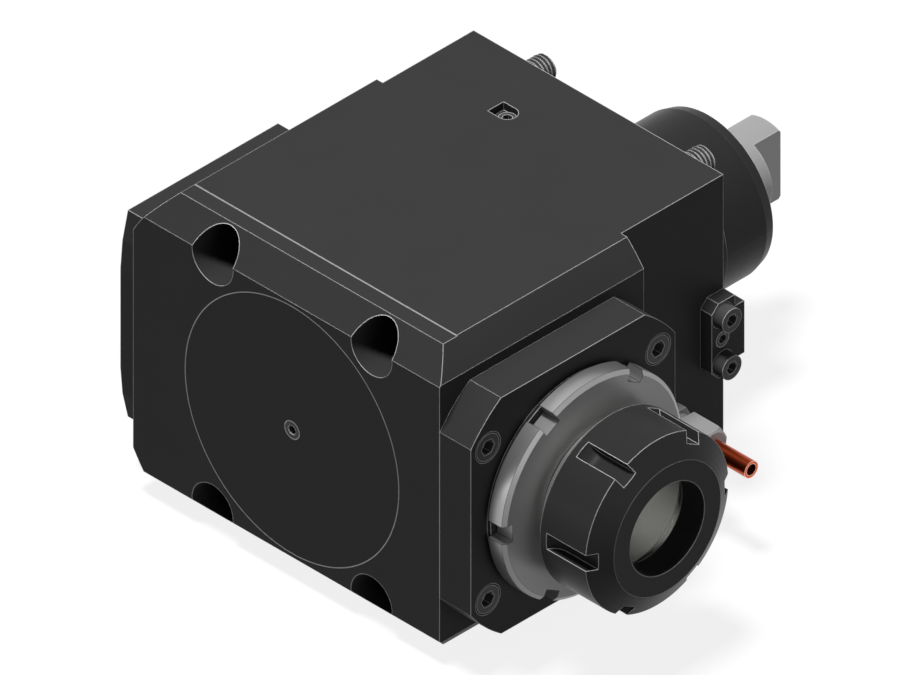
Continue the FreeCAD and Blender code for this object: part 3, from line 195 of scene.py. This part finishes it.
def finish(name, colour, edge, roughness, specular, marks=cutter_grain, depth=GRAIN_DEPTH,
           metallic=0.0):
    """A surface with tool marks, slow cloudy shade, and edges of another colour. The marks
    shake the roughness a little and are as deep as depth says. Metallic is a number, or a
    function that makes a mask."""
    material, tree, shader = new_material(name)
    place = add(tree, "ShaderNodeTexCoord")
    cloud = add(tree, "ShaderNodeTexNoise", {"Vector": place.outputs["Object"],
                                             "Scale": 1 / CLOUD, "Detail": 3.0})
    shade = add(tree, "ShaderNodeMapRange", {"Value": cloud.outputs[0],
                                             "To Min": 1 - CLOUD_SHADE,
                                             "To Max": 1 + CLOUD_SHADE})
    tone = add(tree, "ShaderNodeVectorMath", {0: linear(colour)[:3],
                                              "Scale": shade.outputs[0]}, operation="SCALE")
    mixed = add(tree, "ShaderNodeMix", {0: edge_band(tree), MIX_FIRST: tone.outputs[0],
                                        MIX_SECOND: linear(edge)}, data_type="RGBA")
    tree.links.new(mixed.outputs[MIXED], shader.inputs["Base Color"])
    height = marks(tree)
    rough = add(tree, "ShaderNodeMapRange", {"Value": height,
                                             "To Min": roughness - ROUGHNESS_SHAKE,
                                             "To Max": roughness + ROUGHNESS_SHAKE})
    tree.links.new(rough.outputs[0], shader.inputs["Roughness"])
    relief = add(tree, "ShaderNodeBump", {"Height": height, "Strength": 1.0,
                                          "Distance": depth})
    tree.links.new(relief.outputs[0], shader.inputs["Normal"])
    shader.inputs["Specular IOR Level"].default_value = specular
    if callable(metallic):
        tree.links.new(metallic(tree), shader.inputs["Metallic"])
    else:
        shader.inputs["Metallic"].default_value = metallic
    return material


OXIDE = "#3a3a3a"
RUBBED = "#d2d2d2"
dress(finish("black_oxide_milled_steel", OXIDE, RUBBED, roughness=0.5, specular=0.04),
      "housing", "spindle_flange", "rear_cover", "alignment_key")

# ---------------------------------------------------------------- location shank, front cover
# Shank: turned and ground steel, blackened, shrunk into the block. Front cover: a turned disc
# pressed into the block's face, with a rubber ring round it and a plug screw in the middle.
# A lathe leaves fine rings on flat faces and fine bands on round ones.
TURNING_PITCH = 0.8 * MM    # the real 0.1 mm is too fine to show


def lathe_marks(through, along):
    """Height of a turned surface: a sine of the distance from the axis plus the place along
    it, one wave to each pitch, so that faces get rings and cylinders get bands."""
    def marks(tree):
        place = add(tree, "ShaderNodeTexCoord")
        arm = add(tree, "ShaderNodeVectorMath", {0: place.outputs["Object"], 1: through},
                  operation="SUBTRACT")
        axial = add(tree, "ShaderNodeVectorMath", {0: arm.outputs[0], 1: along},
                    operation="DOT_PRODUCT")
        across = add(tree, "ShaderNodeVectorMath", {0: arm.outputs[0], 1: along},
                     operation="CROSS_PRODUCT")
        radius = add(tree, "ShaderNodeVectorMath", {0: across.outputs[0]}, operation="LENGTH")
        run = add(tree, "ShaderNodeMath", {0: axial.outputs["Value"],
                                           1: radius.outputs["Value"]}, operation="ADD")
        turn = add(tree, "ShaderNodeMath", {0: run.outputs[0], 1: 2 * math.pi / TURNING_PITCH},
                   operation="MULTIPLY")
        wave = add(tree, "ShaderNodeMath", {0: turn.outputs[0]}, operation="SINE")
        return wave.outputs[0]
    return marks


about_shank = lathe_marks((0, 0, 0), (0, 1, 0))
dress(finish("black_oxide_turned_steel", "#363636", RUBBED, roughness=0.48, specular=0.04,
             marks=about_shank, depth=0.0012 * MM), "front_cover")
dress(finish("black_oxide_ground_steel", "#2e2e2e", RUBBED, roughness=0.36, specular=0.08,
             marks=about_shank, depth=0.0012 * MM), "location_shank")

# ---------------------------------------------------------------- ring nut, spindle, bearings
# Ring nut: turned bright steel with a fine matt cut, its slots milled. Spindle: hardened and
# ground, its taper polished until it mirrors. The spindle's bearings, its spacer sleeve and
# lock nut, and the pressing ring in the collet nut are ground.
SPINDLE_AXIS = (0, -90 * MM, 0)
MATT, POLISHED = 0.1, 0.8           # how metallic the ring nut's face and outside are
MATT_FROM, POLISHED_FROM = 0.9, 0.3
about_spindle = lathe_marks(SPINDLE_AXIS, (1, 0, 0))


def polished_outside(tree):
    """A mask that falls from the polished outside to the matt face: from the part of the
    surface's direction that lies along the spindle."""
    own = add(tree, "ShaderNodeNewGeometry")
    ahead = add(tree, "ShaderNodeVectorMath", {0: own.outputs["Normal"], 1: (1, 0, 0)},
                operation="DOT_PRODUCT")
    mask = add(tree, "ShaderNodeMapRange", {"Value": ahead.outputs["Value"],
                                            "From Min": POLISHED_FROM, "From Max": MATT_FROM,
                                            "To Min": POLISHED, "To Max": MATT})
    return mask.outputs[0]


# The ring nut's sharp edges are coloured a darker grey (#5a5a5a) than its faces, over the same
# band.
dress(finish("turned_bright_steel", "#aaaaaa", "#5a5a5a", roughness=0.34, specular=0.3,
             marks=about_spindle, depth=0.0015 * MM, metallic=polished_outside),
      "slotted_ring_nut")
dress(finish("polished_steel", "#f4f4f2", "#d8d8d8", roughness=0.22, specular=0.5,
             marks=about_spindle, depth=0.00001 * MM, metallic=1.0), "spindle")
dress(finish("ground_steel", "#b4b4b2", "#e0e0e0", roughness=0.26, specular=0.5,
             marks=about_spindle, depth=0.0008 * MM, metallic=1.0),
      "collet_pressing_ring", "spindle_spacer_sleeve", "spindle_lock_nut",
      "spindle_front_outer_rings", "spindle_front_inner_rings", "spindle_front_ball_rows",
      "spindle_rear_outer_ring", "spindle_rear_inner_ring", "spindle_rear_ball_row")

# ---------------------------------------------------------------- collet nut
# Turned steel, blackened and polished: darker and smoother than the block, so that its round
# sides carry a soft sheen. Its hook slots are milled, and their edges are rubbed bright.
dress(finish("black_oxide_polished_steel", "#313131", RUBBED, roughness=0.36, specular=0.06,
             marks=about_spindle, depth=0.001 * MM), "collet_nut")

# ---------------------------------------------------------------- socket screws
# Class 12.9 screws, forged and rolled from alloy steel and blackened in oil: a shade lighter
# and smoother than the block.
screw_steel = finish("black_oxide_screw_steel", "#4c4c4c", RUBBED, roughness=0.42,
                     specular=0.12)
dress(screw_steel, "front_cover_plug", "flange_screws", "rear_cover_screws",
      "alignment_key_screws", "alignment_set_screw", "top_plug_screw")

# ---------------------------------------------------------------- mounting bolts
# Four M10 socket head screws through the block. Their heads sit deep in the wells and are
# knurled, and their rolled threads stand out of the mounting face to hold the unit to a
# turret.
HEAD_RADIUS = 8 * MM
HEAD_HEIGHT = 10 * MM
HEAD_CHAMFER = 0.8 * MM
KNURL_RIDGES = 32
KNURL_DEPTH = 0.25 * MM
SOCKET_APOTHEM = 4 * MM
SOCKET_DEPTH = 5 * MM
WAIST = 4.7 * MM
THREAD_RADIUS = 5 * MM
THREAD_DEPTH = 0.92 * MM
THREAD_PITCH = 1.5 * MM
THREAD_START = 0.5 * MM
THREAD_ROWS = 64
FLANK_SLOPE, ROOT_FLAT = 1.35, 0.15     # thread's section: steepness, and part cut off below
CREASE = 28     # degrees: steeper edges stay sharp
AROUND = 128


def closed_skin(rings):
    """Points and faces of a closed skin over rings of points: four-sided faces between each
    ring and the next, and a fan from the middle of the first and of the last ring."""
    count, around = rings.shape[:2]
    middles = np.stack([rings[0].mean(axis=0), rings[-1].mean(axis=0)])
    points = np.concatenate([rings.reshape(-1, 3), middles])
    here = np.arange(around)
    beside = np.roll(here, -1)
    row = (np.arange(count - 1) * around)[:, None]
    sides = np.stack([row + here, row + around + here, row + around + beside, row + beside], -1)
    first = np.stack([np.full(around, count * around), here, beside], -1)
    end = (count - 1) * around
    last = np.stack([np.full(around, count * around + 1), end + beside, end + here], -1)
    return points, sides.reshape(-1, 4).tolist() + first.tolist() + last.tolist()


def bolt_rings(seat, tip):
    """Rings of one bolt about the Y axis. Each ring has a place along Y and a radius for each
    angle: a hexagon for the socket (its apothem over the cosine of the angle from the middle
    of a side), a circle with a cosine wave for the knurl, and for the thread a ramp between
    root and crest that follows the place along Y less one pitch for each turn."""
    angle = np.arange(AROUND) * 2 * np.pi / AROUND
    ones = np.ones(AROUND)
    top = seat - HEAD_HEIGHT
    hexagon = SOCKET_APOTHEM / np.cos((angle % (np.pi / 3)) - np.pi / 6)
    ridged = HEAD_RADIUS - KNURL_DEPTH * (0.5 - 0.5 * np.cos(KNURL_RIDGES * angle))
    plain = [
        (top + SOCKET_DEPTH, hexagon), (top, hexagon),
        (top, ones * (HEAD_RADIUS - HEAD_CHAMFER)), (top + HEAD_CHAMFER, ridged),
        (seat - HEAD_CHAMFER, ridged), (seat, ones * (HEAD_RADIUS - KNURL_DEPTH)),
        (seat, ones * WAIST),
    ]
    place = np.linspace(THREAD_START, tip, THREAD_ROWS)[:, None]
    turn = (place / THREAD_PITCH - angle / (2 * np.pi)) % 1
    ramp = np.clip(FLANK_SLOPE * (1 - np.abs(2 * turn - 1)) - ROOT_FLAT, 0, 1)
    begun = np.clip((place - THREAD_START) / THREAD_PITCH, 0, 1)
    thread = THREAD_RADIUS - THREAD_DEPTH * (1 - ramp)
    radius = WAIST + begun * (thread - WAIST)
    radius = np.minimum(radius, THREAD_RADIUS - HEAD_CHAMFER + (tip - place))
    places = np.concatenate([[y for y, _ in plain], place[:, 0]])
    radii = np.concatenate([[r for _, r in plain], radius])
    return np.stack([radii * np.cos(angle), places[:, None] * ones, radii * np.sin(angle)], -1)


low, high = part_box("mounting_bolts")
rings = bolt_rings(low[1] + HEAD_HEIGHT, high[1])
spread = np.array([high[0] - HEAD_RADIUS, 0, high[2] - HEAD_RADIUS])
points, faces = [], []
for side in ((1, 0, 1), (1, 0, -1), (-1, 0, 1), (-1, 0, -1)):
    more, skin = closed_skin(rings + spread * side)
    start = sum(len(p) for p in points)
    points.append(more)
    faces += [[start + i for i in face] for face in skin]
mesh = bpy.data.meshes.new("threaded_mounting_bolts")
mesh.from_pydata(np.concatenate(points).tolist(), [], faces)
mesh.shade_smooth()
mesh.set_sharp_from_angle(angle=math.radians(CREASE))
mesh.materials.append(screw_steel)
bolts = bpy.data.objects.new("threaded_mounting_bolts", mesh)
scene.collection.objects.link(bolts)
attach(bolts, "housing")
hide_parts("mounting_bolts")

# ---------------------------------------------------------------- coolant connection
# Screwed connection and union nut: turned from hexagon bar and left bright. The tube is
# drawn copper with a faint grain, and a paler ring where its end is cut.
dress(finish("bright_hexagon_bar", "#a2a2a2", "#c4c4c4", roughness=0.4, specular=0.2,
             metallic=0.1), "coolant_nipple", "coolant_union_nut")
dress(finish("drawn_copper", "#c2502c", "#f0c0a8", roughness=0.3, specular=0.5,
             depth=0.002 * MM, metallic=1.0), "coolant_tube")

# ---------------------------------------------------------------- drive shaft and gears
# Hardened and ground shaft with two flats milled for the turret's coupling. Its bearings and
# the case hardened bevel gears, with their keys, screw, lock nut and retaining rings, are a
# darker steel.
dress(finish("ground_shaft_steel", "#a8a8a8", "#d8d8d8", roughness=0.36, specular=0.3,
             marks=about_shank, depth=0.0008 * MM, metallic=0.1), "drive_shaft")
dress(finish("hardened_steel", "#8c8c8a", "#c8c8c8", roughness=0.34, specular=0.5,
             marks=about_shank, depth=0.0015 * MM, metallic=1.0),
      "drive_bevel_gear", "spindle_bevel_gear", "drive_gear_key", "spindle_gear_key",
      "drive_gear_screw", "drive_lock_nut", "pinion_bearing_retaining_ring",
      "shaft_seal_retaining_ring", "drive_front_outer_rings", "drive_front_inner_rings",
      "drive_front_ball_rows", "drive_rear_outer_ring", "drive_rear_inner_ring",
      "drive_rear_ball_row")

# ---------------------------------------------------------------- seals
# Moulded nitrile rubber: deep black and dull, with a very fine skin.
dress(finish("nitrile_rubber", "#1c1c1c", "#2a2a2a", roughness=0.7, specular=0.25,
             depth=0.004 * MM),
      "front_cover_seal", "shaft_seal", "spindle_seal", "coolant_port_seal")

# ---------------------------------------------------------------- floor
# A plain pale board under the object. The camera and reflections see it white with the
# object's shadow on it, and it throws little light back on the object.
FLOOR_HALF = 3.0
FLOOR_GLOW = 0.85
FLOOR_GAP = 0.2 * MM
FLOOR_ROUGHNESS = 0.9
FLOOR_LIT, FLOOR_SHOWN = "#5a5a5a", "#727272"   # what light meets, what the camera sees

mesh = bpy.data.meshes.new("floor")
corners = np.array([(-1, -1, 0), (1, -1, 0), (1, 1, 0), (-1, 1, 0)]) * FLOOR_HALF
mesh.from_pydata((corners + [0, 0, cad_box[0][2] - FLOOR_GAP]).tolist(), [], [(0, 1, 2, 3)])
floor = bpy.data.objects.new("floor", mesh)
scene.collection.objects.link(floor)
board, tree, shader = new_material("pale_board")
seen = seen_directly(tree)
paint = add(tree, "ShaderNodeMix", {0: seen, MIX_FIRST: linear(FLOOR_LIT),
                                    MIX_SECOND: linear(FLOOR_SHOWN)}, data_type="RGBA")
tree.links.new(paint.outputs[MIXED], shader.inputs["Base Color"])
glow = add(tree, "ShaderNodeMath", {0: seen, 1: FLOOR_GLOW}, operation="MULTIPLY")
tree.links.new(glow.outputs[0], shader.inputs["Emission Strength"])
shader.inputs["Emission Color"].default_value = (1, 1, 1, 1)
shader.inputs["Roughness"].default_value = FLOOR_ROUGHNESS
shader.inputs["Specular IOR Level"].default_value = 0
mesh.materials.append(board)
